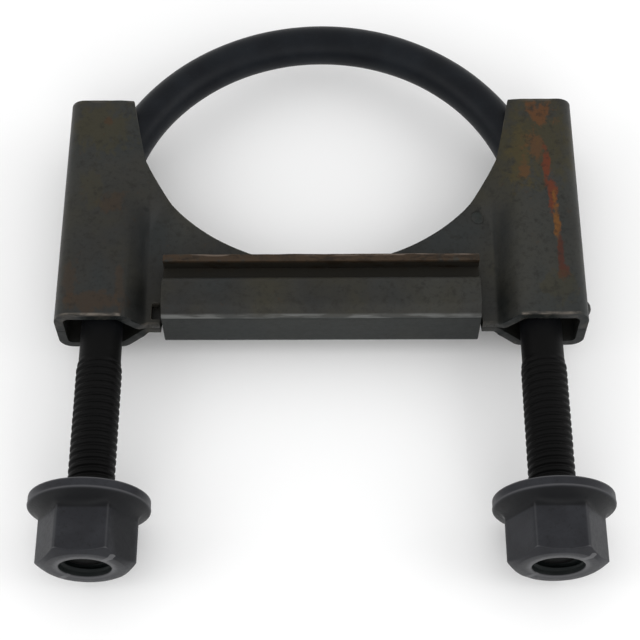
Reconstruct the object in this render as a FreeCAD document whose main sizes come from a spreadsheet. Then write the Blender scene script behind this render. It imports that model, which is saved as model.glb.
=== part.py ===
import FreeCAD, Part
import math
import os

import Sketcher

# Exhaust pipe clamp: a U-bolt, a pressed two-half saddle with a folded seat strip, and two
# flange nuts. X runs across the legs, +Y from the nuts towards the bow, Z along the pipe.
# The origin is the centre of the bow, where the axis of a clamped pipe lies.

NODES_FOLDER = "parts"

DRIVING_SIZES = [
    # alias, millimetres, meaning
    ("leg_spacing", 91.7, "between the axes of the two legs"),
    ("wire_diameter", 8.8, "plain rod"),
    ("thread_diameter", 9.525, "major diameter, 3/8 in"),
    ("thread_start", 36.4, "from the bow centre down to the first thread"),
    ("leg_length", 79.2, "from the bow centre down to the leg end"),
    ("leg_end_chamfer", 1.1, "on the end of each leg"),
    ("sheet", 1.9, "thickness of all the saddle's sheet steel"),
    ("half_depth", 6.85, "mid-plane to the front of a channel"),
    ("channel_outer", 55.4, "mid-plane to the outer wall of a channel"),
    ("channel_bottom", 29.0, "bow centre down to the channel's lower end"),
    ("channel_top", 25.4, "bow centre up to the channel's upper end"),
    ("corner_radius", 3.1, "outside of the bend into the outer wall"),
    ("flat_edge", 41.4, "mid-plane to the inner edge of the front flat"),
    ("slope_foot", 36.95, "mid-plane to the foot of the slope, below the flare"),
    ("flare_foot", 25.5, "mid-plane to the foot of the slope, above the flare"),
    ("flare_low", 3.0, "bow centre down to where the flare starts"),
    ("flare_high", 11.0, "bow centre up to where the flare is complete"),
    ("seat_radius", 42.07, "arc that the pipe rests in"),
    ("seat_height", 27.9, "bow centre up to the centre of that arc"),
    ("seat_half_width", 38.0, "mid-plane to the end of that arc"),
    ("mouth_half_width", 41.3, "mid-plane to the edge at the channel's upper end"),
    ("web_bottom", 28.4, "bow centre down to the lower edge of the web and the strip"),
    ("strip_half_width", 33.2, "mid-plane to each end of the seat strip"),
    ("strip_ridge", 19.3, "bow centre down to the top of the strip's hollow box"),
    ("strip_corner", 2.3, "bevel along the strip's front lower corner"),
    ("strip_gap", 0.35, "between the plates' edges and the strip around them"),
    ("slot_width", 2.3, "relief slot beside the strip"),
    ("slot_height", 3.9, "the same"),
    ("slot_bottom", 27.3, "bow centre down to the slot's lower edge"),
    ("nut_face", 67.0, "bow centre down to the nuts' bearing faces"),
    ("nut_across_flats", 17.46, "11/16 in"),
    ("nut_height", 14.2, "bearing face to free end"),
    ("flange_diameter", 24.5, "nut's flange"),
    ("flange_rim", 2.0, "height of the flange's rim"),
    ("flange_height", 4.1, "height of the flange where it meets the hexagon"),
    ("flange_neck", 17.6, "diameter of the flange's cone at that height"),
    ("nut_end_diameter", 15.7, "flat ring on the free end"),
    ("nut_end_bevel", 0.45, "height of the bevel at the flats"),
    ("nut_bore_clearance", 0.14, "bore over thread diameter"),
    ("countersink", 0.9, "at both ends of the nut's bore"),
]

TOO_LONG = 5.0


class Size:
    """A length that knows both its value and its spreadsheet expression."""

    def __init__(self, value, text):
        self.value = value
        self.text = text

    def combine(self, other, sign, value):
        text = other.text if isinstance(other, Size) else repr(float(other))
        return Size(value, "(" + self.text + " " + sign + " " + text + ")")

    def __add__(self, other):
        return self.combine(other, "+", self.value + number(other))

    def __sub__(self, other):
        return self.combine(other, "-", self.value - number(other))

    def __mul__(self, other):
        return self.combine(other, "*", self.value * number(other))

    def __truediv__(self, other):
        return self.combine(other, "/", self.value / number(other))

    def __neg__(self):
        return Size(-self.value, "(0 - " + self.text + ")")


def number(item):
    return item.value if isinstance(item, Size) else float(item)


def hypotenuse(a, b):
    value = math.hypot(a.value, b.value)
    return Size(value, "sqrt(" + a.text + " * " + a.text + " + " + b.text + " * " + b.text + ")")


def make_sheet(doc):
    sheet = doc.addObject("Spreadsheet::Sheet", "Sizes")
    for row, (alias, value, meaning) in enumerate(DRIVING_SIZES, start=1):
        sheet.set("A%d" % row, meaning)
        sheet.set("B%d" % row, str(value))
        sheet.setAlias("B%d" % row, alias)
    doc.recompute()
    return {alias: Size(value, "Sizes." + alias) for alias, value, _ in DRIVING_SIZES}


doc = FreeCAD.newDocument("PipeClamp")
size = make_sheet(doc)
ZERO = Size(0.0, "0")
FAR = size["channel_outer"] * TOO_LONG


# ---------------------------------------------------------------- sketch helpers

def origin_plane(body, role):
    for item in body.Origin.OriginFeatures:
        if item.Role == role:
            return item
    raise ValueError("no plane " + role)


def new_sketch(body, name, role, offset=ZERO):
    """An empty sketch on one of the body's origin planes, offset along its normal."""
    sketch = body.newObject("Sketcher::SketchObject", name)
    sketch.AttachmentSupport = [(origin_plane(body, role), "")]
    sketch.MapMode = "FlatFace"
    if offset is not ZERO:
        sketch.setExpression("AttachmentOffset.Base.z", offset.text)
    return sketch


def fix_point(sketch, geometry, end, x, y):
    """Tie one point of a sketch to the origin by two dimensions."""
    for kind, length in (("DistanceX", x), ("DistanceY", y)):
        index = sketch.addConstraint(
            Sketcher.Constraint(kind, -1, 1, geometry, end, number(length)))
        if isinstance(length, Size) and length is not ZERO:
            sketch.setExpression("Constraints[%d]" % index, length.text)


def vector(x, y):
    return FreeCAD.Vector(number(x), number(y), 0)


def outline(sketch, points):
    """A closed chain of straight lines through the points."""
    lines = []
    for start, end in zip(points, points[1:] + points[:1]):
        lines.append(sketch.addGeometry(Part.LineSegment(vector(*start), vector(*end)), False))
    for line, after, point in zip(lines, lines[1:] + lines[:1], points):
        sketch.addConstraint(Sketcher.Constraint("Coincident", line, 2, after, 1))
        fix_point(sketch, line, 1, *point)


def circle(sketch, x, y, radius):
    item = sketch.addGeometry(
        Part.Circle(vector(x, y), FreeCAD.Vector(0, 0, 1), radius.value), False)
    index = sketch.addConstraint(Sketcher.Constraint("Radius", item, radius.value))
    sketch.setExpression("Constraints[%d]" % index, radius.text)
    fix_point(sketch, item, 3, x, y)


def new_body(label):
    body = doc.addObject("PartDesign::Body", label)
    body.Label = label
    return body


def pad(body, sketch, name, length, midplane=False, reverse=False):
    feature = body.newObject("PartDesign::Pad", name)
    feature.Profile = sketch
    feature.setExpression("Length", length.text)
    feature.Midplane = midplane
    feature.Reversed = reverse
    sketch.Visibility = False
    return feature


def pocket_through(body, sketch, name):
    """Cut the sketch away on both sides of its plane."""
    feature = body.newObject("PartDesign::Pocket", name)
    feature.Profile = sketch
    feature.Type = "ThroughAll"
    feature.Midplane = True
    return feature


def turned(body, sketch, name, kind):
    """Revolve the sketch a full turn about the sketch's own vertical axis."""
    feature = body.newObject("PartDesign::" + kind, name)
    feature.Profile = sketch
    feature.ReferenceAxis = (sketch, ["V_Axis"])
    feature.Angle = 360.0
    return feature


# ---------------------------------------------------------------- U-bolt

def make_u_bolt():
    body = new_body("u_bolt")
    half_spacing = size["leg_spacing"] / 2
    wire_radius = size["wire_diameter"] / 2
    thread_radius = size["thread_diameter"] / 2

    path = new_sketch(body, "rod_centreline", "XY_Plane")
    left_end = (-half_spacing, -size["leg_length"])
    left_top = (-half_spacing, ZERO)
    right_top = (half_spacing, ZERO)
    right_end = (half_spacing, -size["leg_length"])
    left = path.addGeometry(Part.LineSegment(vector(*left_end), vector(*left_top)), False)
    bow = path.addGeometry(Part.ArcOfCircle(
        Part.Circle(vector(0, 0), FreeCAD.Vector(0, 0, 1), half_spacing.value), 0, math.pi), False)
    right = path.addGeometry(Part.LineSegment(vector(*right_top), vector(*right_end)), False)
    path.addConstraint(Sketcher.Constraint("Coincident", left, 2, bow, 2))
    path.addConstraint(Sketcher.Constraint("Coincident", right, 1, bow, 1))
    fix_point(path, bow, 3, ZERO, ZERO)
    for line, end, point in ((left, 1, left_end), (left, 2, left_top), (right, 2, right_end)):
        fix_point(path, line, end, *point)
    path.addConstraint(Sketcher.Constraint("DistanceY", -1, 1, right, 1, 0.0))

    section = new_sketch(body, "rod_section", "XZ_Plane", size["leg_length"])
    circle(section, -half_spacing, ZERO, wire_radius)
    rod = body.newObject("PartDesign::AdditivePipe", "bent_rod")
    rod.Profile = section
    rod.Spine = (path, ["Edge1", "Edge2", "Edge3"])

    threads = new_sketch(body, "thread_section", "XZ_Plane", size["thread_start"])
    for side in (-half_spacing, half_spacing):
        circle(threads, side, ZERO, thread_radius)
    pad(body, threads, "threaded_ends", size["leg_length"] - size["thread_start"])
    doc.recompute()

    for name, side in (("left_end_bevel", -half_spacing), ("right_end_bevel", half_spacing)):
        bevel = new_sketch(body, name + "_profile", "XY_Plane")
        bevel.setExpression("AttachmentOffset.Base.x", side.text)
        outer = thread_radius * 1.2
        outline(bevel, [
            (thread_radius - size["leg_end_chamfer"], -size["leg_length"]),
            (outer, -size["leg_length"]),
            (outer, -size["leg_length"] + size["leg_end_chamfer"] + (outer - thread_radius)),
        ])
        turned(body, bevel, name, "Groove")
    return body


# ---------------------------------------------------------------- saddle plates

def plate_section(body, name, foot, height):
    """The sheet's cross-section at one height, with the foot of its slope where stated."""
    sheet = size["sheet"]
    depth = size["half_depth"]
    wall = size["channel_outer"]
    radius = size["corner_radius"]
    rise = depth - sheet
    run = size["flat_edge"] - foot
    shift = sheet * ((hypotenuse(rise, run) - run) / rise)
    middle = radius * (1 - math.sqrt(0.5))
    outside = [
        (wall, ZERO),
        (wall, depth - radius),
        (wall - middle, depth - middle),
        (wall - radius, depth),
        (size["flat_edge"], depth),
        (foot, sheet),
    ]
    inside = [
        (foot + shift, ZERO),
        (size["flat_edge"] + shift, depth - sheet),
        (wall - sheet, depth - sheet),
        (wall - sheet, ZERO),
    ]
    mirrored_outside = [(-x, z) for x, z in reversed(outside)]
    mirrored_inside = [(-x, z) for x, z in reversed(inside)]
    sketch = new_sketch(body, name, "XZ_Plane", -height)
    outline(sketch, outside + mirrored_outside + mirrored_inside + inside)
    return sketch


def make_saddle_plate(label, with_slot):
    """One pressed half: a web with the seat arc and half a channel round each leg."""
    body = new_body(label)
    low = plate_section(body, label + "_low", size["slope_foot"], -size["flare_low"])
    pad(body, low, label + "_lower_part", size["channel_bottom"] - size["flare_low"])
    below = plate_section(body, label + "_below", size["slope_foot"], -size["flare_low"])
    above = plate_section(body, label + "_above", size["flare_foot"], size["flare_high"])
    flare = body.newObject("PartDesign::AdditiveLoft", label + "_flare")
    flare.Profile = below
    flare.Sections = [above]
    flare.Ruled = True
    high = plate_section(body, label + "_high", size["flare_foot"], size["flare_high"])
    pad(body, high, label + "_upper_part", size["channel_top"] - size["flare_high"], reverse=True)
    doc.recompute()

    opening = new_sketch(body, label + "_opening", "XY_Plane")
    half = size["seat_half_width"]
    rise = math.sqrt(size["seat_radius"].value ** 2 - half.value ** 2)
    seat_end = size["seat_height"].value - rise
    mouth = size["mouth_half_width"]
    top = size["channel_top"]
    centre = vector(0, size["seat_height"])
    start_angle = math.atan2(-rise, -half.value)
    end_angle = math.atan2(-rise, half.value)
    arc = opening.addGeometry(Part.ArcOfCircle(
        Part.Circle(centre, FreeCAD.Vector(0, 0, 1), size["seat_radius"].value),
        start_angle, end_angle), False)
    corners = [(half, seat_end), (mouth, top), (mouth, FAR), (-mouth, FAR), (-mouth, top),
               (-half, seat_end)]
    sides = []
    for start, end in zip(corners, corners[1:]):
        sides.append(opening.addGeometry(Part.LineSegment(vector(*start), vector(*end)), False))
    opening.addConstraint(Sketcher.Constraint("Coincident", arc, 2, sides[0], 1))
    opening.addConstraint(Sketcher.Constraint("Coincident", arc, 1, sides[-1], 2))
    for side, after, corner in zip(sides, sides[1:], corners[1:]):
        opening.addConstraint(Sketcher.Constraint("Coincident", side, 2, after, 1))
        fix_point(opening, side, 2, *corner)
    radius = opening.addConstraint(
        Sketcher.Constraint("Radius", arc, size["seat_radius"].value))
    opening.setExpression("Constraints[%d]" % radius, size["seat_radius"].text)
    fix_point(opening, arc, 3, ZERO, size["seat_height"])
    for geometry, end, x in ((sides[0], 1, half), (sides[-1], 2, -half)):
        index = opening.addConstraint(
            Sketcher.Constraint("DistanceX", -1, 1, geometry, end, x.value))
        opening.setExpression("Constraints[%d]" % index, x.text)
    pocket_through(body, opening, label + "_pipe_opening")

    foot = size["slope_foot"]
    strip_end = size["strip_half_width"] + size["strip_gap"]
    inside_strip = -(size["web_bottom"] - size["sheet"] - size["strip_gap"])
    lower_edge = new_sketch(body, label + "_edge", "XY_Plane")
    outline(lower_edge, [
        (-foot, -FAR), (foot, -FAR), (foot, -size["web_bottom"]),
        (strip_end, -size["web_bottom"]), (strip_end, inside_strip),
        (-strip_end, inside_strip), (-strip_end, -size["web_bottom"]),
        (-foot, -size["web_bottom"]),
    ])
    pocket_through(body, lower_edge, label + "_lower_edge")

    if with_slot:
        slot = new_sketch(body, label + "_slot", "XY_Plane")
        near = -size["strip_half_width"]
        far = near - size["slot_width"]
        bottom = -size["slot_bottom"]
        slot_top = bottom + size["slot_height"]
        outline(slot, [(far, bottom), (near, bottom), (near, slot_top), (far, slot_top)])
        pocket_through(body, slot, label + "_relief_slot")
    return body


# ---------------------------------------------------------------- seat strip

def make_seat_strip():
    """Folded round the plates' lower edge: a hollow box, a pinch and a lip on each side."""
    body = new_body("saddle_seat_strip")
    sheet = size["sheet"]
    depth = size["half_depth"]
    corner = size["strip_corner"]
    bottom = -size["web_bottom"]
    ridge = -size["strip_ridge"]
    lip_top = size["seat_height"] - size["seat_radius"]
    inner_corner = corner - sheet * (2 - math.sqrt(2))
    lips_and_neck = [
        (ridge, depth), (ridge, sheet * 2), (lip_top - sheet, sheet * 2),
        (lip_top - sheet, depth), (lip_top, depth),
        (lip_top, sheet), (ridge - sheet, sheet), (ridge - sheet, depth - sheet),
    ]
    front = [(bottom, depth - corner), (bottom + corner, depth)] + lips_and_neck + [
        (bottom + sheet + inner_corner, depth - sheet),
        (bottom + sheet, depth - sheet - inner_corner),
    ]
    back = [(bottom, depth)] + lips_and_neck + [(bottom + sheet, depth - sheet)]
    back = [(y, -z) for y, z in reversed(back)]
    section = new_sketch(body, "strip_section", "YZ_Plane")
    outline(section, front + back)
    pad(body, section, "folded_strip", size["strip_half_width"] * 2, midplane=True)
    return body


# ---------------------------------------------------------------- flange nuts

def make_nut(label, side):
    """Modelled with its bearing face at its own origin and its free end towards -Y."""
    body = new_body(label)
    flat = size["nut_across_flats"] / 2
    corner = flat * (2 / math.sqrt(3))
    height = size["nut_height"]
    bore = (size["thread_diameter"] + size["nut_bore_clearance"]) / 2
    rim = size["flange_diameter"] / 2
    sink = size["countersink"]

    hexagon = new_sketch(body, label + "_hexagon", "XZ_Plane")
    outline(hexagon, [(corner * math.cos(math.radians(60 * step)),
                       corner * math.sin(math.radians(60 * step))) for step in range(6)])
    pad(body, hexagon, label + "_hexagon_pad", height)

    flange = new_sketch(body, label + "_flange_profile", "XY_Plane")
    outline(flange, [
        (ZERO, ZERO), (rim, ZERO), (rim, -size["flange_rim"]),
        (size["flange_neck"] / 2, -size["flange_height"]), (ZERO, -size["flange_height"]),
    ])
    turned(body, flange, label + "_flange", "Revolution")

    ring = size["nut_end_diameter"] / 2
    slope = size["nut_end_bevel"] / (flat - ring)
    outer = corner * 1.1
    bevel = new_sketch(body, label + "_bevel_profile", "XY_Plane")
    outline(bevel, [(ring, -height), (outer, -height), (outer, -height + (outer - ring) * slope)])
    turned(body, bevel, label + "_end_bevel", "Groove")

    hole = new_sketch(body, label + "_bore_profile", "XY_Plane")
    outline(hole, [
        (ZERO, ZERO), (bore + sink, ZERO), (bore, -sink),
        (bore, -(height - sink)), (bore + sink, -height), (ZERO, -height),
    ])
    turned(body, hole, label + "_bore", "Groove")

    body.setExpression("Placement.Base.x", side.text)
    body.setExpression("Placement.Base.y", (-size["nut_face"]).text)
    return body


# ---------------------------------------------------------------- assembly and export

def check_document():
    for item in doc.Objects:
        if "Invalid" in item.State or "Error" in item.State:
            raise RuntimeError("failed feature: " + item.Name + " " + str(item.State))


def export(bodies):
    os.makedirs(NODES_FOLDER, exist_ok=True)
    for body in bodies:
        shape = body.Shape
        if shape.isNull() or not shape.isValid() or len(shape.Solids) != 1:
            raise RuntimeError("bad shape: " + body.Label)
    for body in bodies:
        body.Shape.exportStep(os.path.join(NODES_FOLDER, body.Label + ".step"))
        print(body.Label, "volume %.0f cubic mm" % body.Shape.Volume)


back_plate = make_saddle_plate("saddle_back_plate", with_slot=False)
back_plate.Placement = FreeCAD.Placement(
    FreeCAD.Vector(0, 0, 0), FreeCAD.Rotation(FreeCAD.Vector(0, 1, 0), 180))
half_spacing = size["leg_spacing"] / 2
bodies = [
    make_u_bolt(),
    make_saddle_plate("saddle_front_plate", with_slot=True),
    back_plate,
    make_seat_strip(),
    make_nut("left_flange_nut", -half_spacing),
    make_nut("right_flange_nut", half_spacing),
]
doc.recompute()
check_document()
export(bodies)
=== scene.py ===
import math

import bmesh
import bpy
from mathutils import Matrix, Vector, noise


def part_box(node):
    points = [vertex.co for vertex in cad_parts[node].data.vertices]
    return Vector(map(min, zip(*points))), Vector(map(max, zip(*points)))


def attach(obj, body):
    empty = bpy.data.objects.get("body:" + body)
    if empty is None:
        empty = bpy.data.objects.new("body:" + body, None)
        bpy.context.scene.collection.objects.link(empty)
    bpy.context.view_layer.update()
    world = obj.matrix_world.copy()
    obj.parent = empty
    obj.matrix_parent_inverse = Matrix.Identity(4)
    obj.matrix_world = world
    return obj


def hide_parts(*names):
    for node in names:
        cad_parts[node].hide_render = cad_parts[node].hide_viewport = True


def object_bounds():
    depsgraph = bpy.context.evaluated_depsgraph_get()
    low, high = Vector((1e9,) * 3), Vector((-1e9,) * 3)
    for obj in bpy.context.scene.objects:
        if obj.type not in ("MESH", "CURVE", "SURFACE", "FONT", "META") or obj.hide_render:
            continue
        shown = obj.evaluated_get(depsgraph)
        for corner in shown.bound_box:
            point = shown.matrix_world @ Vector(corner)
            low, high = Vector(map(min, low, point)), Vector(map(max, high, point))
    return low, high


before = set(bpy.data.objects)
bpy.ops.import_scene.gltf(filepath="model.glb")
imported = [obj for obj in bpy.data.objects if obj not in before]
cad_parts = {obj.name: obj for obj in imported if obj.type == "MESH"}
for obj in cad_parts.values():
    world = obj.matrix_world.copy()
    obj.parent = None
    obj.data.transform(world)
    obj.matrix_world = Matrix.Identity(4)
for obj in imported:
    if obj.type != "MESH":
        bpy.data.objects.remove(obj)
cad_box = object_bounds()

# The clamp's frame: X across the legs, +Y from the nuts towards the bow, Z along the pipe.
# All lengths below are millimetres; meshes are scaled to metres when they are made.
MM = 0.001


def node_box(node):
    """Lowest and highest corner of a CAD node, in millimetres."""
    low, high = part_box(node)
    return Vector(low) / MM, Vector(high) / MM


BOLT_LOW, BOLT_HIGH = node_box("u_bolt")
PLATE_LOW, PLATE_HIGH = node_box("saddle_front_plate")
STRIP_LOW, STRIP_HIGH = node_box("saddle_seat_strip")
NUT_LOW, NUT_HIGH = node_box("right_flange_nut")

THREAD_RADIUS = BOLT_HIGH.z
THREAD_PITCH = 1.5875
THREAD_DEPTH = 0.40
HALF_SPACING = BOLT_HIGH.x - THREAD_RADIUS
WIRE_RADIUS = BOLT_HIGH.y - HALF_SPACING
LEG_END = BOLT_LOW.y
LEG_BEVEL = 1.15
THREAD_START = -36.4

SHEET = 1.9
DEPTH = PLATE_HIGH.z
WALL = PLATE_HIGH.x
CHANNEL_BOTTOM = PLATE_LOW.y
CHANNEL_TOP = PLATE_HIGH.y
CORNER_RADIUS = 3.1
FLAT_EDGE = 41.4
SLOPE_FOOT = 36.95
FLARE_FOOT = 25.5
FLARE_LOW = -8.0
FLARE_HIGH = 13.0
SEAT_RADIUS = 42.07
SEAT_HEIGHT = 27.9
SEAT_HALF_WIDTH = 38.0
MOUTH_HALF_WIDTH = 41.3
WEB_BOTTOM = STRIP_LOW.y
STRIP_HALF = STRIP_HIGH.x
LIP_TOP = STRIP_HIGH.y
RIDGE = -19.3
STRIP_CORNER = 2.3

NUT_FACE = NUT_HIGH.y
NUT_HEIGHT = NUT_HIGH.y - NUT_LOW.y
FLANGE_RADIUS = (NUT_HIGH.z - NUT_LOW.z) / 2
HEX_FLAT = 17.46 / 2


# ---------------------------------------------------------------- small maths

def lerp(a, b, t):
    return a + (b - a) * t


def clamp(value, low=0.0, high=1.0):
    return max(low, min(high, value))


def smoothstep(low, high, value):
    t = clamp((value - low) / (high - low))
    return t * t * (3 - 2 * t)


def soft_max(a, b, width):
    """The larger of two values, with the corner between them rounded."""
    blend = max(width - abs(a - b), 0.0) / width
    return max(a, b) + blend * blend * width / 4


def soft_min(a, b, width):
    return -soft_max(-a, -b, width)


def spread(low, high, step):
    """Evenly spaced values from low to high, about a step apart, without the last."""
    count = max(1, round((high - low) / step))
    return [lerp(low, high, index / count) for index in range(count)]


def rough(x, y, z, scale, seed=0.0):
    """Smooth noise between about -1 and 1."""
    return noise.noise(Vector((x * scale + seed, y * scale - seed, z * scale + 2 * seed)))


# ---------------------------------------------------------------- mesh helpers

SHARP_ANGLE = 50


def new_object(name, points, faces):
    """A smooth-shaded mesh object from points in millimetres."""
    mesh = bpy.data.meshes.new(name)
    mesh.from_pydata([(x * MM, y * MM, z * MM) for x, y, z in points], [], faces)
    mesh.validate()
    mesh.shade_smooth()
    piece = bpy.data.objects.new(name, mesh)
    bpy.context.scene.collection.objects.link(piece)
    return piece


def grid_faces(rows, columns, wrap=False):
    """Quads over a grid of points stored row by row."""
    faces = []
    last = columns if wrap else columns - 1
    for row in range(rows - 1):
        for column in range(last):
            after = (column + 1) % columns
            a = row * columns + column
            b = row * columns + after
            faces.append((a, b, b + columns, a + columns))
    return faces


def rounded_block(name, low, high, bottom, top, radius):
    """An upright block with rounded corners, from its opposite corners in X and Y."""
    corner_steps = 4
    outline = []
    for corner in range(4):
        centre_x = high[0] - radius if corner in (0, 3) else low[0] + radius
        centre_y = high[1] - radius if corner in (0, 1) else low[1] + radius
        for step in range(corner_steps + 1):
            angle = math.pi / 2 * (corner + step / corner_steps)
            outline.append((centre_x + radius * math.cos(angle), centre_y + radius * math.sin(angle)))
    around = len(outline)
    points = [(x, y, z) for z in (bottom, top) for x, y in outline]
    faces = grid_faces(2, around, wrap=True)
    faces += [tuple(reversed(range(around))), tuple(range(around, 2 * around))]
    block = new_object(name, points, faces)
    outward(block)
    return block


def apply_modifiers(piece):
    """Replace a piece's mesh by what its modifiers make of it."""
    depsgraph = bpy.context.evaluated_depsgraph_get()
    mesh = bpy.data.meshes.new_from_object(piece.evaluated_get(depsgraph))
    old = piece.data
    piece.modifiers.clear()
    piece.data = mesh
    bpy.data.meshes.remove(old)


def outward(piece):
    """Make every face of a closed piece point outwards."""
    work = bmesh.new()
    work.from_mesh(piece.data)
    bmesh.ops.recalc_face_normals(work, faces=work.faces)
    work.to_mesh(piece.data)
    work.free()


def bevel_edges(piece, width):
    """Round a piece's sharp edges by a width in millimetres."""
    bevel = piece.modifiers.new("edge_wear", "BEVEL")
    bevel.width = width * MM
    bevel.segments = 2
    bevel.limit_method = "ANGLE"
    bevel.angle_limit = math.radians(SHARP_ANGLE)
    normals = piece.modifiers.new("flat_faces", "WEIGHTED_NORMAL")
    normals.keep_sharp = True


# ---------------------------------------------------------------- threads

# Shares of the way from the root to the crest, where the flank starts and where it ends.
ROOT_SHARE = 0.12
CREST_SHARE = 0.70


def thread_drop(turn):
    """Depth of the thread below its crest, from 0 to 1, at that many turns along it."""
    from_root = abs(turn % 1.0 - 0.5) * 2
    return 1 - smoothstep(ROOT_SHARE, CREST_SHARE, from_root)


# ---------------------------------------------------------------- U-bolt

RINGS_PER_TURN = 14
THREAD_RUN_IN = 2.0
SHANK_STEP = 2.0
BOW_STEPS = 120
FADE_START = 0.6
FADE_TURNS = 1.5
DRAWN_DIMPLE = 0.03
CREST_DIMPLE = 0.05
CREST_CLEARANCE = 0.02
END_RING_SHARE = 0.55
END_DISH = 0.12


def rod_rings():
    """Centre and sideways direction of each ring, from the left leg's end round the bow."""
    leg = spread(LEG_END, THREAD_START + THREAD_RUN_IN, THREAD_PITCH / RINGS_PER_TURN)
    plain = spread(THREAD_START + THREAD_RUN_IN, 0, SHANK_STEP)
    heights = leg + plain
    rings = [(Vector((-HALF_SPACING, y, 0)), Vector((-1, 0, 0))) for y in heights]
    for index in range(BOW_STEPS + 1):
        angle = math.pi * (1 - index / BOW_STEPS)
        side = Vector((math.cos(angle), math.sin(angle), 0))
        rings.append((side * HALF_SPACING, side))
    rings += [(Vector((HALF_SPACING, y, 0)), Vector((1, 0, 0))) for y in reversed(heights)]
    return rings


def rod_radius(centre, side, angle):
    """Radius of the rod, with a right-handed thread on each leg."""
    dimple = rough(centre.x, centre.y, 3 * math.sin(angle), 0.12)
    drawn = WIRE_RADIUS - DRAWN_DIMPLE + DRAWN_DIMPLE * dimple
    if centre.y > THREAD_START + FADE_START:
        return drawn
    cut = smoothstep(THREAD_START + FADE_START, THREAD_START - FADE_TURNS * THREAD_PITCH, centre.y)
    about_leg = angle if side.x > 0 else math.pi - angle
    turn = centre.y / THREAD_PITCH + about_leg / (2 * math.pi)
    wear = abs(rough(centre.x, centre.y, angle, 0.9))
    crest = THREAD_RADIUS - CREST_CLEARANCE - CREST_DIMPLE * wear
    threaded = crest - THREAD_DEPTH * thread_drop(turn)
    return min(lerp(drawn, threaded, cut), crest - LEG_BEVEL + (centre.y - LEG_END))


def make_u_bolt():
    around = 64
    rings = rod_rings()
    up = Vector((0, 0, 1))
    points = []
    for centre, side in rings:
        for step in range(around):
            angle = 2 * math.pi * step / around
            spoke = side * math.cos(angle) + up * math.sin(angle)
            points.append(centre + spoke * rod_radius(centre, side, angle))
    faces = grid_faces(len(rings), around, wrap=True)
    for first, centre in ((0, rings[0][0]), (len(points) - around, rings[-1][0])):
        edge = points[first:first + around]
        inner = len(points)
        points += [centre + (point - centre) * END_RING_SHARE for point in edge]
        middle = len(points)
        points.append(centre + Vector((0, END_DISH, 0)))
        for step in range(around):
            after = (step + 1) % around
            faces.append((first + step, first + after, inner + after, inner + step))
            faces.append((inner + step, inner + after, middle))
    piece = new_object("bent_rod", points, faces)
    outward(piece)
    return piece


# ---------------------------------------------------------------- saddle plates

SLOT_LOW = (-35.5, -27.3)
SLOT_HIGH = (-33.2, -23.4)
SLOT_CORNER = 0.4
WEB_ROUNDING = 0.9
FLAT_ROUNDING = 1.2
CUT_ROUGHNESS = 0.06
CUT_GRAIN = 0.55
SHEET_WAVE = 0.07
SEAM_HALF_GAP = 0.06
EDGE_CLEARANCE = 0.04
STRIP_FLOOR_GAP = 0.45
MOUTH_BOW = 1.12
PLATE_ROWS = 76
WEB_STEP = 1.3
STRIP_END_STEP = 0.1
SLOPE_STEP = 0.18
FLAT_STEP = 0.9
WALL_STEP = 0.8
WALL_BEND_STEPS = 9
FLAT_START = MOUTH_HALF_WIDTH + 1.2


def front_height(x, y):
    """Height of a plate's outer face over the mid-plane: web, slope and front flat."""
    x = abs(x)
    foot = lerp(SLOPE_FOOT, FLARE_FOOT, smoothstep(FLARE_LOW, FLARE_HIGH, y))
    slope = SHEET + (x - foot) / (FLAT_EDGE - foot) * (DEPTH - SHEET)
    height = soft_min(soft_max(slope, SHEET, WEB_ROUNDING), DEPTH, FLAT_ROUNDING)
    return min(height, DEPTH)


def lower_edge(x):
    """Height of a plate's lower edge: inside the strip, beside it, and on a channel."""
    x = abs(x)
    inside = WEB_BOTTOM + SHEET + STRIP_FLOOR_GAP
    beside = smoothstep(STRIP_HALF + 0.3, STRIP_HALF + 0.5, x)
    channel = smoothstep(SLOPE_FOOT - 0.9, SLOPE_FOOT + 0.5, x)
    return lerp(lerp(inside, WEB_BOTTOM + 0.1, beside), CHANNEL_BOTTOM, channel)


def upper_edge(x):
    """Height of a plate's upper edge: the seat arc, the open mouth and the channel's end."""
    x = abs(x)
    if x >= MOUTH_HALF_WIDTH:
        return CHANNEL_TOP
    arc = SEAT_HEIGHT - math.sqrt(SEAT_RADIUS ** 2 - min(x, SEAT_HALF_WIDTH) ** 2)
    if x <= SEAT_HALF_WIDTH:
        return arc
    along = (x - SEAT_HALF_WIDTH) / (MOUTH_HALF_WIDTH - SEAT_HALF_WIDTH)
    return lerp(arc, CHANNEL_TOP, along ** MOUTH_BOW)


def half_columns():
    """Sideways place and depth of each column, from the middle to the seam; depth None is free."""
    flat = (spread(0, STRIP_HALF - 1, WEB_STEP)
            + spread(STRIP_HALF - 1, STRIP_HALF + 1, STRIP_END_STEP)
            + spread(STRIP_HALF + 1, FLAT_START, SLOPE_STEP)
            + spread(FLAT_START, WALL - CORNER_RADIUS, FLAT_STEP))
    columns = [(x, None) for x in flat]
    for index in range(WALL_BEND_STEPS + 1):
        angle = math.pi / 2 * (1 - index / WALL_BEND_STEPS)
        columns.append((WALL - CORNER_RADIUS * (1 - math.cos(angle)),
                        DEPTH - CORNER_RADIUS * (1 - math.sin(angle))))
    wall = spread(DEPTH - CORNER_RADIUS, SEAM_HALF_GAP, WALL_STEP)[1:] + [SEAM_HALF_GAP]
    return columns + [(WALL, z) for z in wall]


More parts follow.
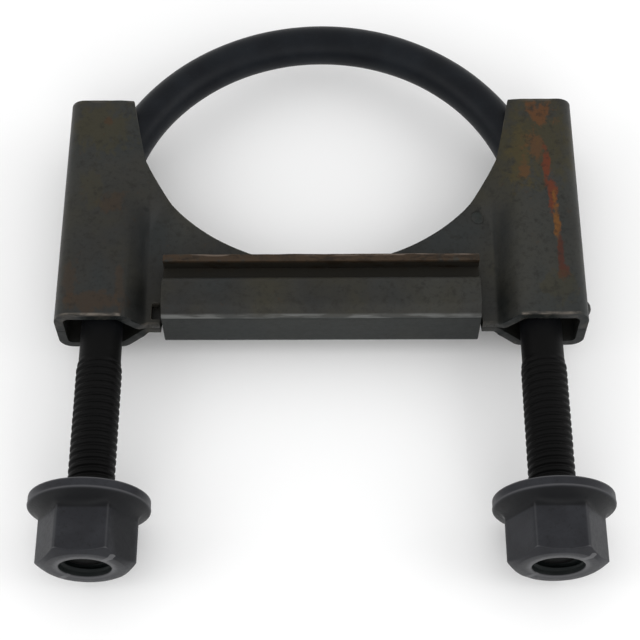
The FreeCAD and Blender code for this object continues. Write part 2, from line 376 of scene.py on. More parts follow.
def make_plate(name, front):
    """One pressed half of the saddle, trimmed by the seat arc and the lower edge."""
    right = half_columns()
    columns = [(-x, z) for x, z in reversed(right[1:])] + right
    facing = 1 if front else -1
    points = []
    for row in range(PLATE_ROWS):
        for x, depth in columns:
            low = lower_edge(x) + CUT_ROUGHNESS * rough(x, 5, depth or 0, CUT_GRAIN, 3)
            high = upper_edge(x) + CUT_ROUGHNESS * rough(x, 9, depth or 0, CUT_GRAIN, 7)
            y = lerp(low, high, row / (PLATE_ROWS - 1))
            z = front_height(x, y) if depth is None else depth
            wave = SHEET_WAVE * rough(x, y, facing * 4, 0.05, 11)
            if depth is None:
                z += min(wave, 0) * smoothstep(SHEET, SHEET + 2, z)
            points.append((x, y, z * facing))
    faces = grid_faces(PLATE_ROWS, len(columns))
    if not front:
        faces = [face[::-1] for face in faces]
    piece = new_object(name, points, faces)
    solid = piece.modifiers.new("sheet", "SOLIDIFY")
    solid.thickness = (SHEET - EDGE_CLEARANCE) * MM
    solid.offset = -1
    solid.use_even_offset = True
    if front:
        cutter = rounded_block("slot_cutter", SLOT_LOW, SLOT_HIGH, 0, SHEET + 2, SLOT_CORNER)
        cut = piece.modifiers.new("relief_slot", "BOOLEAN")
        cut.operation = "DIFFERENCE"
        cut.solver = "EXACT"
        cut.object = cutter
        apply_modifiers(piece)
        bpy.data.objects.remove(cutter)
    else:
        apply_modifiers(piece)
    outward(piece)
    return piece


# ---------------------------------------------------------------- folded sheet

FOLD_STEP_ANGLE = 12


def filleted_path(corners):
    """Points along a bent sheet's middle, from (y, z, bend radius) corners."""
    path = [Vector(corners[0][:2])]
    for before, corner, after in zip(corners, corners[1:], corners[2:]):
        here = Vector(corner[:2])
        inward = (Vector(before[:2]) - here).normalized()
        onward = (Vector(after[:2]) - here).normalized()
        turn = math.pi - inward.angle(onward)
        reach = corner[2] * math.tan(turn / 2)
        start = here + inward * reach
        centre = here + (inward + onward).normalized() * (corner[2] / math.cos(turn / 2))
        spoke = start - centre
        sense = 1 if inward.cross(onward) < 0 else -1
        count = max(2, math.ceil(math.degrees(turn) / FOLD_STEP_ANGLE))
        for index in range(count + 1):
            spin = Matrix.Rotation(sense * turn * index / count, 2)
            path.append(centre + spin @ spoke)
    path.append(Vector(corners[-1][:2]))
    return path


def path_normals(path):
    """Unit normals of a path, one for each point."""
    normals = []
    for index in range(len(path)):
        before = path[max(index - 1, 0)]
        after = path[min(index + 1, len(path) - 1)]
        along = (after - before).normalized()
        normals.append(Vector((-along.y, along.x)))
    return normals


LIP_BEND = 0.96
RIDGE_BEND = 0.98
CREASE_BEND = 1.25
BACK_BEND = 1.15
BACK_NECK_BEND = 1.0
LIP_REACH = 2.5
LIP_WEAR = 0.16
LIP_NICKS = 0.10
LIP_HEIGHT = 1.2
NECK_GAP = 0.02
STRIP_WAVE = 0.05
STRIP_STEP = 1.1


def make_seat_strip():
    """Sheet folded round the plates' lower edge, with a pinched neck and two lips."""
    half = SHEET / 2
    front = DEPTH - half
    neck = SHEET * 1.5 + NECK_GAP
    low = WEB_BOTTOM + half
    top = RIDGE - half
    lip = LIP_TOP - half
    crease = STRIP_CORNER - half * (2 - math.sqrt(2))
    front_fold = [
        (lip, DEPTH, 0), (lip, neck, LIP_BEND), (top, neck, LIP_BEND), (top, front, RIDGE_BEND),
        (low + crease, front, CREASE_BEND), (low, front - crease, CREASE_BEND),
    ]
    back_fold = [
        (low, -front, BACK_BEND), (top, -front, BACK_BEND), (top, -neck, BACK_NECK_BEND),
        (lip, -neck, BACK_NECK_BEND), (lip, -DEPTH, 0),
    ]
    path = filleted_path(front_fold + back_fold)
    normals = path_normals(path)
    places = spread(-STRIP_HALF, STRIP_HALF, STRIP_STEP) + [STRIP_HALF]
    points = []
    for x in places:
        ring = []
        for side in (1, -1):
            order = range(len(path)) if side == 1 else range(len(path) - 1, -1, -1)
            for index in order:
                y, z = path[index] + normals[index] * half * side
                at_lip = smoothstep(DEPTH - LIP_REACH, DEPTH, abs(z))
                at_lip *= smoothstep(lip - LIP_HEIGHT, lip, y)
                z -= math.copysign(at_lip * LIP_WEAR * (1 + rough(x, side, z, 0.35, 5)), z)
                y -= at_lip * LIP_NICKS * (1 + rough(x, side * 3, z, 0.22, 8))
                y += (1 - at_lip) * STRIP_WAVE * rough(x, y, z, 0.09, 2)
                ring.append((x, y, z))
        points += ring
    around = 2 * len(path)
    faces = grid_faces(len(places), around, wrap=True)
    for first in (0, len(points) - around):
        for index in range(len(path) - 1):
            far = 2 * len(path) - 1 - index
            faces.append((first + index, first + index + 1, first + far - 1, first + far))
    piece = new_object("seat_strip", points, faces)
    outward(piece)
    return piece


# ---------------------------------------------------------------- flange nuts

HEX_CORNER = HEX_FLAT / math.cos(math.pi / 6)
RIM_HEIGHT = 2.0
NECK_HEIGHT = 4.1
NECK_RADIUS = 8.9
END_RING_RADIUS = 7.85
END_BEVEL = 0.45
BORE_MOUTH = THREAD_RADIUS + 0.55
COUNTERSINK = 0.9
COUNTERSINK_RUN_OUT = 0.7
COUNTERSINK_WIDENING = 0.25
CORNER_WEAR = 0.12
CORNER_SOFTNESS = 0.28
BEVEL_SOFTNESS = 0.25
RIM_SOFTNESS = 0.5
RIM_RIDGE = 0.12
RIM_RIDGE_WIDTH = 0.35
FACE_EDGE = 0.45
RIM_EDGE = (0.12, 0.14)
MOUTH_EDGE = (0.25, 0.12)
NECK_FILLET = 1.1
NUT_STEPS_AROUND = 180
SIDE_RING_STEP = 0.2
END_RING_STEP = 0.06
END_ZONE = 2.2
BORE_CLEARANCE = 0.07
BORE_THREAD_SHARE = 0.8
BORE_RINGS_PER_TURN = 12


def hexagon_radius(angle):
    """Distance from the axis to the hexagon, whose flats face up, down and to the sides."""
    sixth = math.pi / 3
    from_flat = (angle - math.pi / 2 + sixth / 2) % sixth - sixth / 2
    radius = HEX_FLAT / math.cos(from_flat)
    return soft_min(radius, HEX_CORNER - CORNER_WEAR, CORNER_SOFTNESS)


def nut_radius(height, angle):
    """Outside of the nut at a height over its bearing face."""
    hexagon = hexagon_radius(angle)
    slope = END_BEVEL / (HEX_FLAT - END_RING_RADIUS)
    bevel = END_RING_RADIUS + (NUT_HEIGHT - height) / slope
    body = soft_min(hexagon, bevel, BEVEL_SOFTNESS)
    cone = lerp(FLANGE_RADIUS, NECK_RADIUS, (height - RIM_HEIGHT) / (NECK_HEIGHT - RIM_HEIGHT))
    ridge = RIM_RIDGE * math.exp(-((height - RIM_HEIGHT) / RIM_RIDGE_WIDTH) ** 2)
    flange = soft_min(FLANGE_RADIUS - RIM_RIDGE, cone, RIM_SOFTNESS) + ridge
    return min(soft_max(body, flange, NECK_FILLET), FLANGE_RADIUS)


def bore_radius(height, angle):
    """Inside of the nut at a height over its bearing face, in step with the leg's thread."""
    turn = (NUT_FACE - height) / THREAD_PITCH + angle / (2 * math.pi)
    crest = THREAD_RADIUS + BORE_CLEARANCE
    cut = THREAD_DEPTH * BORE_THREAD_SHARE * thread_drop(turn)
    from_end = min(height, NUT_HEIGHT - height)
    mouth = smoothstep(COUNTERSINK + COUNTERSINK_RUN_OUT, COUNTERSINK, from_end)
    return lerp(crest - cut, crest + COUNTERSINK_WIDENING, mouth)


def make_nut(name, axis_x):
    """Rings from the bearing face up the outside, over the end and down the threaded bore."""
    around = NUT_STEPS_AROUND
    bevel_start = NUT_HEIGHT - END_ZONE
    up = spread(0, bevel_start, SIDE_RING_STEP) + spread(bevel_start, NUT_HEIGHT, END_RING_STEP)
    up.append(NUT_HEIGHT)
    down = spread(COUNTERSINK - NUT_HEIGHT, -COUNTERSINK, THREAD_PITCH / BORE_RINGS_PER_TURN)
    points = []

    def ring(height, radius_at):
        for step in range(around):
            angle = 2 * math.pi * step / around
            radius = radius_at(angle)
            points.append((axis_x + radius * math.cos(angle), NUT_FACE - height,
                           radius * math.sin(angle)))

    ring(0, lambda angle: BORE_MOUTH)
    ring(0, lambda angle: lerp(BORE_MOUTH, FLANGE_RADIUS, 0.6))
    ring(0, lambda angle: FLANGE_RADIUS - FACE_EDGE)
    ring(RIM_EDGE[0], lambda angle: FLANGE_RADIUS - RIM_EDGE[1])
    # The first two heights are the rim's edge, which is drawn above.
    for height in up[2:]:
        ring(height, lambda angle: nut_radius(height, angle))
    ring(NUT_HEIGHT, lambda angle: lerp(END_RING_RADIUS, BORE_MOUTH, 0.5))
    ring(NUT_HEIGHT, lambda angle: BORE_MOUTH)
    ring(NUT_HEIGHT - MOUTH_EDGE[0], lambda angle: BORE_MOUTH - MOUTH_EDGE[1])
    for negative in down:
        height = -negative
        ring(height, lambda angle: bore_radius(height, angle))
    rows = len(points) // around
    faces = grid_faces(rows, around, wrap=True)
    last = (rows - 1) * around
    for step in range(around):
        after = (step + 1) % around
        faces.append((last + step, last + after, after, step))
    piece = new_object(name, points, faces)
    outward(piece)
    return piece


# ---------------------------------------------------------------- weld marks

SPOT_WELD = (33.8, -2.6)
TACK_WELD_HEIGHT = -24.6
BEAD_LUMPS = 0.10


def make_bead(name, centre, half_sizes):
    """A lumpy closed bead of weld metal."""
    rows = 14
    around = 28
    points = []
    for row in range(1, rows):
        polar = math.pi * row / rows
        for step in range(around):
            turn = 2 * math.pi * step / around
            spoke = Vector((math.sin(polar) * math.cos(turn), math.sin(polar) * math.sin(turn),
                            math.cos(polar)))
            lump = 1 + BEAD_LUMPS * rough(*(spoke * 2), 1.3, len(name))
            points.append([middle + half * value * lump
                           for middle, half, value in zip(centre, half_sizes, spoke)])
    faces = grid_faces(rows - 1, around, wrap=True)
    first = tuple(reversed(range(around)))
    last = tuple(range(len(points) - around, len(points)))
    piece = new_object(name, points, faces + [first, last])
    outward(piece)
    return piece


# ---------------------------------------------------------------- materials

OXIDE_DARK = (0.003, 0.004, 0.006)
OXIDE_PALE = (0.007, 0.009, 0.012)
OXIDE_SCUFF = (0.016, 0.017, 0.019)
OXIDE_RUST = (0.03, 0.016, 0.008)
THREAD_BLACK = (0.0035, 0.0035, 0.0035)

SCALE_DARK = (0.017, 0.017, 0.016)
SCALE_PALE = (0.029, 0.029, 0.025)
SCALE_OLIVE = (0.028, 0.025, 0.014)
SCALE_BLUE = (0.017, 0.021, 0.022)
SCALE_SCUFF = (0.040, 0.040, 0.038)
SCALE_PIT = (0.007, 0.007, 0.006)
SCALE_SPOT = (0.010, 0.009, 0.007)
BARE_EDGE = (0.075, 0.066, 0.055)

RUST_BROWN = (0.034, 0.020, 0.010)
RUST_RED = (0.046, 0.014, 0.008)
RUST_ORANGE = (0.085, 0.032, 0.009)
RUST_SCARLET = (0.088, 0.020, 0.007)
RUST_BRIGHT = (0.115, 0.046, 0.008)
OLIVE = (0.034, 0.029, 0.012)
MUSTARD = (0.052, 0.038, 0.010)
GRIME = (0.006, 0.006, 0.005)
TEAL = (0.012, 0.018, 0.017)

# Painted shade on slopes, groove and underside; painted highlights on cut edge, fold and lip glints;
# darker cut ends; lip rust.
SLOPE_SHADE = (0.005, 0.006, 0.006)
CUT_END_DARK = (0.005, 0.007, 0.007)
CUT_EDGE_HIGHLIGHT = (0.15, 0.13, 0.11)
GROOVE_SHADE = (0.0150, 0.0140, 0.0115)
UNDERSIDE_SHADE = (0.008, 0.011, 0.0105)
FOLD_HIGHLIGHT = (0.125, 0.128, 0.124)
LIP_RUST = (0.010, 0.006, 0.003)
LIP_SHINE = (0.17, 0.135, 0.11)

PHOSPHATE_DARK = (0.0150, 0.0155, 0.0185)
PHOSPHATE_PALE = (0.0225, 0.0235, 0.0275)
PHOSPHATE_PIT = (0.006, 0.006, 0.006)
DENT_BLACK = (0.002, 0.002, 0.002)
# Painted shade on the flange cones and on the left nut's inner side.
CONE_SHADE = (0.0035, 0.0038, 0.0045)
INNER_FACE_SHADE = (0.0045, 0.005, 0.0065)
WORN_CORNER = (0.11, 0.11, 0.115)

# Painted shade inside the nuts' bores.
BORE_DARK = (0.003, 0.004, 0.004)
BORE_PALE = (0.008, 0.011, 0.011)

SADDLE_SHINE = 0.17
GROOVE_SHINE = 0.05
STAIN_REACH = 6.0


class Nodes:
    """Short calls that add shader nodes to one material."""

    def __init__(self, name):
        self.material = bpy.data.materials.new(name)
        self.material.use_nodes = True
        self.tree = self.material.node_tree
        self.shader = self.tree.nodes["Principled BSDF"]
        self.place = self.add("ShaderNodeTexCoord").outputs["Object"]
        self.split = None
        self.distances = {}
        self.ragged = None

    def add(self, kind, **settings):
        node = self.tree.nodes.new(kind)
        for key, value in settings.items():
            setattr(node, key, value)
        return node

    def link(self, source, target):
        self.tree.links.new(source, target)

    def stretched(self, scale, shift=(0, 0, 0)):
        """The object's own coordinates, in millimetres, stretched along each axis."""
        mapping = self.add("ShaderNodeMapping")
        mapping.inputs["Scale"].default_value = [value / MM for value in scale]
        mapping.inputs["Location"].default_value = shift
        self.link(self.place, mapping.inputs["Vector"])
        return mapping.outputs["Vector"]

    def noise(self, scale, detail=4.0, roughness=0.55, distortion=0.0, shift=(0, 0, 0)):
        """Noise whose scale is one number, or three for the three axes, per millimetre."""
        if isinstance(scale, float):
            scale = (scale, scale, scale)
        texture = self.add("ShaderNodeTexNoise")
        texture.inputs["Scale"].default_value = 1.0
        texture.inputs["Detail"].default_value = detail
        texture.inputs["Roughness"].default_value = roughness
        texture.inputs["Distortion"].default_value = distortion
        self.link(self.stretched(scale, shift), texture.inputs["Vector"])
        return texture.outputs["Fac"]

    def ramp(self, value, low, high, from_value=0.0, to_value=1.0, smooth=True):
        remap = self.add("ShaderNodeMapRange")
        remap.interpolation_type = "SMOOTHSTEP" if smooth else "LINEAR"
        for name, number in (("From Min", low), ("From Max", high),
                             ("To Min", from_value), ("To Max", to_value)):
            remap.inputs[name].default_value = number
        self.link(value, remap.inputs["Value"])
        return remap.outputs["Result"]

    def maths(self, operation, a, b):
        node = self.add("ShaderNodeMath", operation=operation)
        for socket, value in zip(node.inputs, (a, b)):
            if isinstance(value, (int, float)):
                socket.default_value = value
            else:
                self.link(value, socket)
        return node.outputs["Value"]

    def times(self, *factors):
        """The product of two or more values."""
        product = factors[0]
        for factor in factors[1:]:
            product = self.maths("MULTIPLY", product, factor)
        return product

    def mix(self, factor, a, b):
        node = self.add("ShaderNodeMix", data_type="RGBA")
        for socket, value in ((node.inputs["Factor"], factor), (node.inputs["A"], a),
                              (node.inputs["B"], b)):
            if isinstance(value, tuple):
                socket.default_value = (*value, 1.0)
            else:
                self.link(value, socket)
        return node.outputs["Result"]

    def axis(self, name):
        """One of the object's own coordinates, in metres."""
        if self.split is None:
            self.split = self.add("ShaderNodeSeparateXYZ")
            self.link(self.place, self.split.inputs["Vector"])
        return self.split.outputs[name]

    def along(self, axis, low, high, from_value=0.0, to_value=1.0):
        """A ramp along an axis, between two places in millimetres."""
        return self.ramp(self.axis(axis), low * MM, high * MM, from_value, to_value)

    def both_ways(self, axis, low, high, from_value=0.0, to_value=1.0):
        """The same ramp both ways from the object's mid-plane."""
        if axis not in self.distances:
            self.distances[axis] = self.maths("ABSOLUTE", self.axis(axis), 0)
        return self.ramp(self.distances[axis], low * MM, high * MM, from_value, to_value)

    def band(self, axis, centre, half_width, softness):
        """1 near a plane across an axis and 0 away from it, in millimetres."""
        away = self.maths("ABSOLUTE", self.maths("SUBTRACT", self.axis(axis), centre * MM), 0)
        return self.ramp(away, half_width * MM, (half_width + softness) * MM, 1.0, 0.0)

    def patch(self, centre, sizes, ragged=1.0, amount=1.0):
        """The amount inside a ragged ellipsoid and 0 outside; its centre and half sizes in mm."""
        near = self.stretched([1 / size for size in sizes],
                              [-middle / size for middle, size in zip(centre, sizes)])
        away = self.add("ShaderNodeVectorMath", operation="LENGTH")
        self.link(near, away.inputs[0])
        if self.ragged is None:
            broken = self.noise((0.45, 0.30, 0.45), detail=7, roughness=0.68, shift=(8, 3, 5))
            self.ragged = self.maths("SUBTRACT", broken, 0.5)
        edge = self.add("ShaderNodeMath", operation="MULTIPLY_ADD")
        self.link(self.ragged, edge.inputs[0])
        edge.inputs[1].default_value = 3.2 * ragged
        self.link(away.outputs["Value"], edge.inputs[2])
        return self.ramp(edge.outputs["Value"], 0.55, 1.15, amount, 0.0)

    def worn_edges(self, low, high):
        """1 on convex edges."""
        pointiness = self.add("ShaderNodeNewGeometry").outputs["Pointiness"]
        return self.ramp(pointiness, low, high)

    def bump(self, height, distance, strength=1.0, under=None):
        node = self.add("ShaderNodeBump")
        node.inputs["Strength"].default_value = strength
        node.inputs["Distance"].default_value = distance * MM
        self.link(height, node.inputs["Height"])
        if under is not None:
            self.link(under, node.inputs["Normal"])
        return node.outputs["Normal"]

    def finish(self, colour, roughness, normal, specular):
        """Connect what varies, and set a plain specular level on the shader itself."""
        for name, value in (("Base Color", colour), ("Roughness", roughness), ("Normal", normal),
                            ("Specular IOR Level", specular)):
            if isinstance(value, float):
                self.shader.inputs[name].default_value = value
            else:
                self.link(value, self.shader.inputs[name])
        return self.material


def bolt_material():
    """Black oxide over drawn rod: satin and faintly blue, with fine scuffs and dull threads."""
    nodes = Nodes("black_oxide_rod")
    cloud = nodes.noise(0.09, detail=5)
    fine = nodes.noise(1.6, detail=6, roughness=0.65)
    specks = nodes.noise(0.7, detail=7, roughness=0.7)
    colour = nodes.mix(nodes.ramp(cloud, 0.35, 0.7), OXIDE_DARK, OXIDE_PALE)
    colour = nodes.mix(nodes.ramp(fine, 0.56, 0.74, 0, 0.5), colour, OXIDE_SCUFF)
    rust = nodes.times(nodes.ramp(cloud, 0.6, 0.75), nodes.ramp(specks, 0.5, 0.66), 0.35)
    colour = nodes.mix(rust, colour, OXIDE_RUST)
    shank = nodes.along("Y", THREAD_START + 2.4, THREAD_START + 16.4)
    colour = nodes.mix(shank, THREAD_BLACK, colour)
    roughness = nodes.ramp(fine, 0.3, 0.75, 0.36, 0.54, smooth=False)
    normal = nodes.bump(fine, 0.03, 0.5, under=nodes.bump(cloud, 0.12, 0.5))
    return nodes.finish(colour, roughness, normal, nodes.ramp(shank, 0, 1, 0.05, 0.13))


def steel_colour(nodes, grain):
    """Mill scale: dark grey with olive and blue casts and pale handling scuffs."""
    cloud = nodes.noise((0.035, 0.022, 0.05), detail=4, distortion=0.6)
    tint = nodes.noise((0.06, 0.05, 0.06), detail=3, shift=(3, 7, 1))
    scuffs = nodes.noise((0.35, 2.4, 0.6), detail=6, roughness=0.7, shift=(1, 2, 3))
    colour = nodes.mix(nodes.ramp(cloud, 0.3, 0.72), SCALE_DARK, SCALE_PALE)
    colour = nodes.mix(nodes.ramp(tint, 0.45, 0.72, 0, 0.7), colour, SCALE_OLIVE)
    colour = nodes.mix(nodes.ramp(tint, 0.5, 0.28, 0, 0.6), colour, SCALE_BLUE)
    colour = nodes.mix(nodes.ramp(scuffs, 0.56, 0.78, 0, 0.30), colour, SCALE_SCUFF)
    colour = nodes.mix(nodes.ramp(grain, 0.52, 0.30, 0, 0.45), colour, SCALE_PIT)
    return colour, cloud, scuffs


def plate_shade_and_highlight(nodes, colour):
    """Painted shade on the slopes, darker cut ends on the channels, and a painted highlight line along
    the front one.
    """
    # Painted shade on the slopes, strongest below the flare.
    slope = nodes.times(nodes.both_ways("X", SLOPE_FOOT - 0.5, SLOPE_FOOT + 0.2),
                        nodes.both_ways("X", SLOPE_FOOT + 1.0, FLAT_EDGE + 1.2, 1.0, 0.0),
                        nodes.ramp(nodes.noise((0.2, 0.07, 0.2), detail=6), 0.35, 0.6, 0.55, 1.0),
                        nodes.along("Y", -4.0, 2.0, 0.80, 0.0))
    colour = nodes.mix(slope, colour, SLOPE_SHADE)
    # The channels' cut ends are darker.
    cut = nodes.along("Y", CHANNEL_BOTTOM + 0.10, CHANNEL_BOTTOM + 0.35, 0.75, 0.0)
    colour = nodes.mix(cut, colour, CUT_END_DARK)
    # Painted highlight: a broken bright line along the front plate's lower edge.
    painted_highlight_line = nodes.times(nodes.ramp(nodes.noise((0.25, 0.8, 0.8), detail=6), 0.42, 0.62, 0.1, 1.0),
                       nodes.band("Y", CHANNEL_BOTTOM + 0.30, 0.15, 0.3),
                       nodes.along("Z", DEPTH - 0.5, DEPTH - 0.15, 0, 0.8))
    return nodes.mix(painted_highlight_line, colour, CUT_EDGE_HIGHLIGHT), SADDLE_SHINE


def strip_shade_highlights_and_rust(nodes, colour):
    """Painted shade in the groove and, with a teal tint, on the underside; a painted highlight along
    the lower fold; rusty lips with painted glints.
    """
    # Painted shade in the groove under the lips.
    neck = nodes.band("Y", (LIP_TOP + RIDGE) / 2 - 0.9, (LIP_TOP - RIDGE) / 2 - 1.0, 0.5)
    groove_shade = nodes.times(neck, nodes.both_ways("Z", DEPTH - 1.0, DEPTH - 0.2, 1.0, 0.0), 0.92)
    colour = nodes.mix(groove_shade, colour, GROOVE_SHADE)
    lower = nodes.along("Y", WEB_BOTTOM + 0.3, WEB_BOTTOM + 0.9, 1.0, 0.0)
    fold = DEPTH - STRIP_CORNER
    # Painted shade with a teal tint on the strip's underside.
    underside_shade = nodes.times(nodes.along("Z", fold - 0.3, fold + 0.1, 0.70, 0.0), lower)
    colour = nodes.mix(underside_shade, colour, UNDERSIDE_SHADE)
    # Painted highlight: a broken bright line along the lower fold.
    highlight_breakup = nodes.ramp(nodes.noise((0.12, 0.8, 0.8), detail=6), 0.40, 0.62, 0.25, 0.9)
    painted_highlight_line = nodes.times(nodes.band("Z", fold + 0.1, 0.3, 0.4), lower, highlight_breakup)
    colour = nodes.mix(painted_highlight_line, colour, FOLD_HIGHLIGHT)
    pitted = nodes.noise((0.22, 0.6, 0.5), detail=7, roughness=0.7)
    lip = nodes.times(nodes.ramp(pitted, 0.52, 0.62, 0, 0.65), nodes.band("Y", LIP_TOP - 0.9, 0.9, 0.5))
    colour = nodes.mix(lip, colour, LIP_RUST)
    glinting = nodes.noise((0.14, 1.2, 1.2), detail=5, shift=(7, 1, 1))
    glint = nodes.times(nodes.ramp(glinting, 0.50, 0.62, 0, 0.55),
                        nodes.band("Y", LIP_TOP - 0.25, 0.25, 0.35))
    shine = nodes.ramp(groove_shade, 0.0, 0.9, SADDLE_SHINE, GROOVE_SHINE)
    return nodes.mix(glint, colour, LIP_SHINE), shine


def saddle_material(name, stains, painted_light_and_marks):
    """Pressed steel with mill scale, stains of (x, y, half sizes, amount, colour), and the painted
    shade, painted highlights and marks of a given function.
    """
    nodes = Nodes(name)
    grain = nodes.noise(0.9, detail=8, roughness=0.7)
    colour, cloud, scuffs = steel_colour(nodes, grain)
    spots = nodes.noise(0.5, detail=7, roughness=0.7, shift=(2, 9, 4))
    for x, y, half_width, half_height, amount, tone in stains:
        local = nodes.patch((x, y, DEPTH), (half_width, half_height, STAIN_REACH), amount=amount)
        colour = nodes.mix(local, colour, tone)
    colour = nodes.mix(nodes.ramp(spots, 0.60, 0.72, 0, 0.5), colour, RUST_BROWN)
    if stains:
        colour = nodes.mix(nodes.ramp(spots, 0.48, 0.34, 0, 0.5), colour, SCALE_SPOT)
    colour, shine = painted_light_and_marks(nodes, colour)
    worn = nodes.times(nodes.ramp(nodes.noise(0.25, detail=5, shift=(4, 4, 4)), 0.45, 0.65), 0.5)
    colour = nodes.mix(nodes.times(nodes.worn_edges(0.60, 0.72), worn), colour, BARE_EDGE)
    rust = nodes.times(nodes.ramp(spots, 0.62, 0.72), 0.25)
    roughness = nodes.ramp(grain, 0.25, 0.75, 0.36, 0.56, smooth=False)
    roughness = nodes.maths("ADD", roughness, nodes.times(rust, 0.25))
    normal = nodes.bump(cloud, 0.25, 0.4)
    normal = nodes.bump(scuffs, 0.04, 0.5, under=normal)
    pitted = nodes.maths("ADD", grain, nodes.times(rust, 0.8))
    normal = nodes.bump(pitted, 0.06, 0.6, under=normal)
    return nodes.finish(colour, roughness, normal, shine)


def nut_material():
    """Dark phosphate: matt grey with a slight blue cast, paler on worn corners, with painted shade on
    the flange cones and the left nut's inner side.
    """
    nodes = Nodes("phosphate_nut")
    cloud = nodes.noise(0.12, detail=5)
    grain = nodes.noise(1.3, detail=8, roughness=0.72)
    colour = nodes.mix(nodes.ramp(cloud, 0.35, 0.7), PHOSPHATE_DARK, PHOSPHATE_PALE)
    colour = nodes.mix(nodes.ramp(grain, 0.5, 0.3, 0, 0.5), colour, PHOSPHATE_PIT)
    for side in (-1, 1):
        for across in (-10.2, 10.4):
            dent = nodes.patch((side * HALF_SPACING + across, NUT_FACE - 2.6, 2.9),
                               (0.9, 0.8, 0.9), ragged=0.3)
            colour = nodes.mix(nodes.times(dent, 0.8), colour, DENT_BLACK)
    # Painted shade on the flange's cone, next to the hex.
    cone = nodes.band("Y", NUT_FACE - (RIM_HEIGHT + NECK_HEIGHT) / 2 - 0.5, 1.1, 0.5)
    colour = nodes.mix(nodes.times(cone, 0.88), colour, CONE_SHADE)
    # Painted shade on the left nut's inner upper side.
    inner_face_shade = nodes.patch((-HALF_SPACING + 8.5, NUT_FACE - 8.0, 4.5), (5.0, 9.0, 5.0), ragged=0.3)
    colour = nodes.mix(nodes.times(inner_face_shade, 0.95), colour, INNER_FACE_SHADE)
    colour = nodes.mix(nodes.times(nodes.worn_edges(0.515, 0.56), 0.7), colour, WORN_CORNER)
    roughness = nodes.ramp(grain, 0.25, 0.75, 0.36, 0.54, smooth=False)
    normal = nodes.bump(grain, 0.05, 0.6, under=nodes.bump(cloud, 0.15, 0.4))
    return nodes.finish(colour, roughness, normal, 0.15)


def shaded_bore_material():
    """Painted shade inside the nuts' bores: dark steel."""
    nodes = Nodes("shaded_bore")
    grain = nodes.noise(1.5, detail=6)
    colour = nodes.mix(grain, BORE_DARK, BORE_PALE)
    roughness = nodes.ramp(grain, 0.3, 0.7, 0.4, 0.6)
    return nodes.finish(colour, roughness, nodes.bump(grain, 0.04), 0.12)


# ---------------------------------------------------------------- the pieces

PLATE_EDGE = 0.22
STRIP_EDGE = 0.2
PLATE_STAINS = [
    # across, up, half width, half height, amount, colour
    (-47.0, -25.5, 7.0, 2.6, 0.60, RUST_BROWN),
    (-52.5, -20.0, 1.6, 5.0, 0.45, RUST_BROWN),
    (-42.0, -22.0, 1.1, 5.5, 0.45, RUST_BROWN),
    (-44.5, -1.5, 3.0, 3.0, 0.50, RUST_BROWN),
    (-37.6, -1.5, 0.8, 0.7, 0.90, GRIME),
    (-49.0, 2.0, 2.5, 6.0, 0.35, OLIVE),
    (-46.5, 20.0, 1.2, 1.2, 0.8, RUST_RED),
    (-48.0, 18.0, 7.0, 7.0, 0.55, OLIVE),
    (46.5, 14.0, 8.5, 12.0, 0.55, OLIVE),
    (43.5, 10.0, 3.0, 9.0, 0.42, MUSTARD),
    (48.0, 21.5, 3.2, 3.2, 0.75, RUST_ORANGE),
    (46.5, 12.5, 2.4, 4.0, 0.50, RUST_ORANGE),
    (44.0, 6.5, 1.6, 2.4, 0.50, RUST_ORANGE),
    (48.7, 8.0, 0.9, 5.0, 0.9, RUST_SCARLET),
    (49.5, 0.5, 1.1, 6.0, 0.9, RUST_SCARLET),
    (50.0, -6.0, 0.8, 6.5, 0.9, RUST_BRIGHT),
    (50.3, -14.0, 0.7, 6.0, 0.9, RUST_RED),
    (50.6, -19.0, 1.2, 2.0, 0.9, RUST_RED),
    (49.6, -22.5, 4.5, 4.0, 0.4, OLIVE),
    (*SPOT_WELD, 2.7, 2.7, 0.95, GRIME),
]
LIP_STAINS = [(0, LIP_TOP - 0.9, 60, 2.0, 0.9, RUST_BROWN)]
WELD_STAINS = [(WALL, TACK_WELD_HEIGHT, 9, 9, 0.8, GRIME), (*SPOT_WELD, 5, 5, 0.5, TEAL)]


def dress(piece, material, body, node=None):
    """Give a piece its material and body, and hide the CAD node that it replaces."""
    piece.data.materials.clear()
    piece.data.materials.append(material)
    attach(piece, body)
    if node is not None:
        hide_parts(node)


def add_rod():
    dress(make_u_bolt(), bolt_material(), "u_bolt", "u_bolt")


def add_saddle():
    plate_steel = saddle_material("plate_steel", PLATE_STAINS, plate_shade_and_highlight)
    back_steel = saddle_material("back_steel", [], plate_shade_and_highlight)
    strip_steel = saddle_material("strip_steel", LIP_STAINS, strip_shade_highlights_and_rust)
    for name, front, node in (("front_plate", True, "saddle_front_plate"),
                              ("back_plate", False, "saddle_back_plate")):
        plate = make_plate(name, front)
        bevel_edges(plate, PLATE_EDGE)
        dress(plate, plate_steel if front else back_steel, "saddle", node)
    strip = make_seat_strip()
    bevel_edges(strip, STRIP_EDGE)
    dress(strip, strip_steel, "saddle", "saddle_seat_strip")


def add_nuts():
    steel = nut_material()
    shaded_bore_steel = shaded_bore_material()
    for side, body in ((-1, "left_nut"), (1, "right_nut")):
        nut = make_nut(body.replace("_nut", "_hex_nut"), side * HALF_SPACING)
        dress(nut, steel, body, body.replace("_nut", "_flange_nut"))
        # The bores get the darker material: painted shade.
        nut.data.materials.append(shaded_bore_steel)
        for face in nut.data.polygons:
            across = math.hypot(face.center.x - side * HALF_SPACING * MM, face.center.z)
            if across < (BORE_MOUTH - 0.1) * MM:
                face.material_index = 1


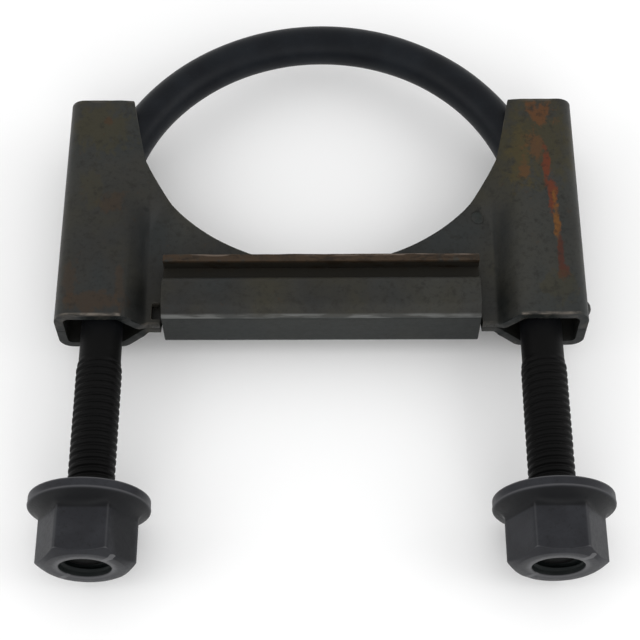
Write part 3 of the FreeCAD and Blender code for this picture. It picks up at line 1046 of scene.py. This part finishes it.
def add_welds():
    steel = saddle_material("weld_steel", WELD_STAINS, plate_shade_and_highlight)
    for name, centre, half_sizes in (
            ("spot_weld", (*SPOT_WELD, SHEET), (1.5, 1.5, 0.40)),
            ("seam_tack_weld", (WALL - 0.2, TACK_WELD_HEIGHT, 0.6), (1.3, 1.7, 2.2))):
        dress(make_bead(name, centre, half_sizes), steel, "saddle")


# ---------------------------------------------------------------- studio and camera

FLOOR_REACH = 3.0
SKY_STRENGTH = 0.88
SOFTBOXES = [
    # name, place and target in metres, width, watts
    ("left_softbox", (-0.42, -0.12, 0.26), (-0.03, -0.03, 0), 0.35, 0.5),
    ("right_softbox", (0.42, -0.10, 0.26), (0.03, -0.03, 0), 0.35, 0.6),
    ("front_softbox", (0.05, -0.50, 0.34), (0, -0.02, 0), 0.40, 0.5),
]
CAMERA_PLACE = (1.447, -190.004, 298.563)
CAMERA_ELEVATION = math.radians(61.292)
CAMERA_HEADING = math.radians(-0.601)
CAMERA_ROLL = math.radians(-0.729)
SENSOR_WIDTH = 36
LENS = 91.29


def add_floor():
    low = cad_box[0][2]
    mesh = bpy.data.meshes.new("floor")
    corners = [(x * FLOOR_REACH, y * FLOOR_REACH, low) for x, y in ((-1, -1), (1, -1), (1, 1), (-1, 1))]
    mesh.from_pydata(corners, [], [(0, 1, 2, 3)])
    floor = bpy.data.objects.new("floor", mesh)
    bpy.context.scene.collection.objects.link(floor)
    nodes = Nodes("pale_floor")
    colour = nodes.mix(nodes.noise(0.01), (0.93, 0.93, 0.93), (0.96, 0.96, 0.96))
    nodes.link(colour, nodes.shader.inputs["Base Color"])
    nodes.shader.inputs["Roughness"].default_value = 0.9
    mesh.materials.append(nodes.material)


def add_lights():
    for name, place, target, width, watts in SOFTBOXES:
        light = bpy.data.lights.new(name, "AREA")
        light.shape = "DISK"
        light.size = width
        light.energy = watts
        lamp = bpy.data.objects.new(name, light)
        bpy.context.scene.collection.objects.link(lamp)
        lamp.location = place
        aim = Vector(target) - Vector(place)
        lamp.rotation_euler = aim.to_track_quat("-Z", "Y").to_euler()


def add_world():
    world = bpy.data.worlds.new("studio")
    bpy.context.scene.world = world
    world.use_nodes = True
    background = world.node_tree.nodes["Background"]
    background.inputs["Color"].default_value = (1, 1, 1, 1)
    background.inputs["Strength"].default_value = SKY_STRENGTH


def add_camera():
    """Placed by its height over the object, its heading and its slight roll."""
    level = math.cos(CAMERA_ELEVATION)
    forward = Vector((math.sin(CAMERA_HEADING) * level, math.cos(CAMERA_HEADING) * level,
                      -math.sin(CAMERA_ELEVATION)))
    right = Vector((math.cos(CAMERA_HEADING), -math.sin(CAMERA_HEADING), 0))
    up = right.cross(forward)
    turned_right = right * math.cos(CAMERA_ROLL) + up * math.sin(CAMERA_ROLL)
    turned_up = up * math.cos(CAMERA_ROLL) - right * math.sin(CAMERA_ROLL)
    data = bpy.data.cameras.new("camera")
    data.sensor_width = SENSOR_WIDTH
    data.lens = LENS
    data.clip_start = 0.01
    camera = bpy.data.objects.new("camera", data)
    bpy.context.scene.collection.objects.link(camera)
    axes = Matrix((turned_right, turned_up, -forward)).transposed()
    camera.matrix_world = Matrix.Translation(Vector(CAMERA_PLACE) * MM) @ axes.to_4x4()
    bpy.context.scene.camera = camera


add_rod()
add_saddle()
add_nuts()
add_welds()
add_floor()
add_world()
bpy.context.scene.view_settings.view_transform = "Standard"
add_lights()
add_camera()
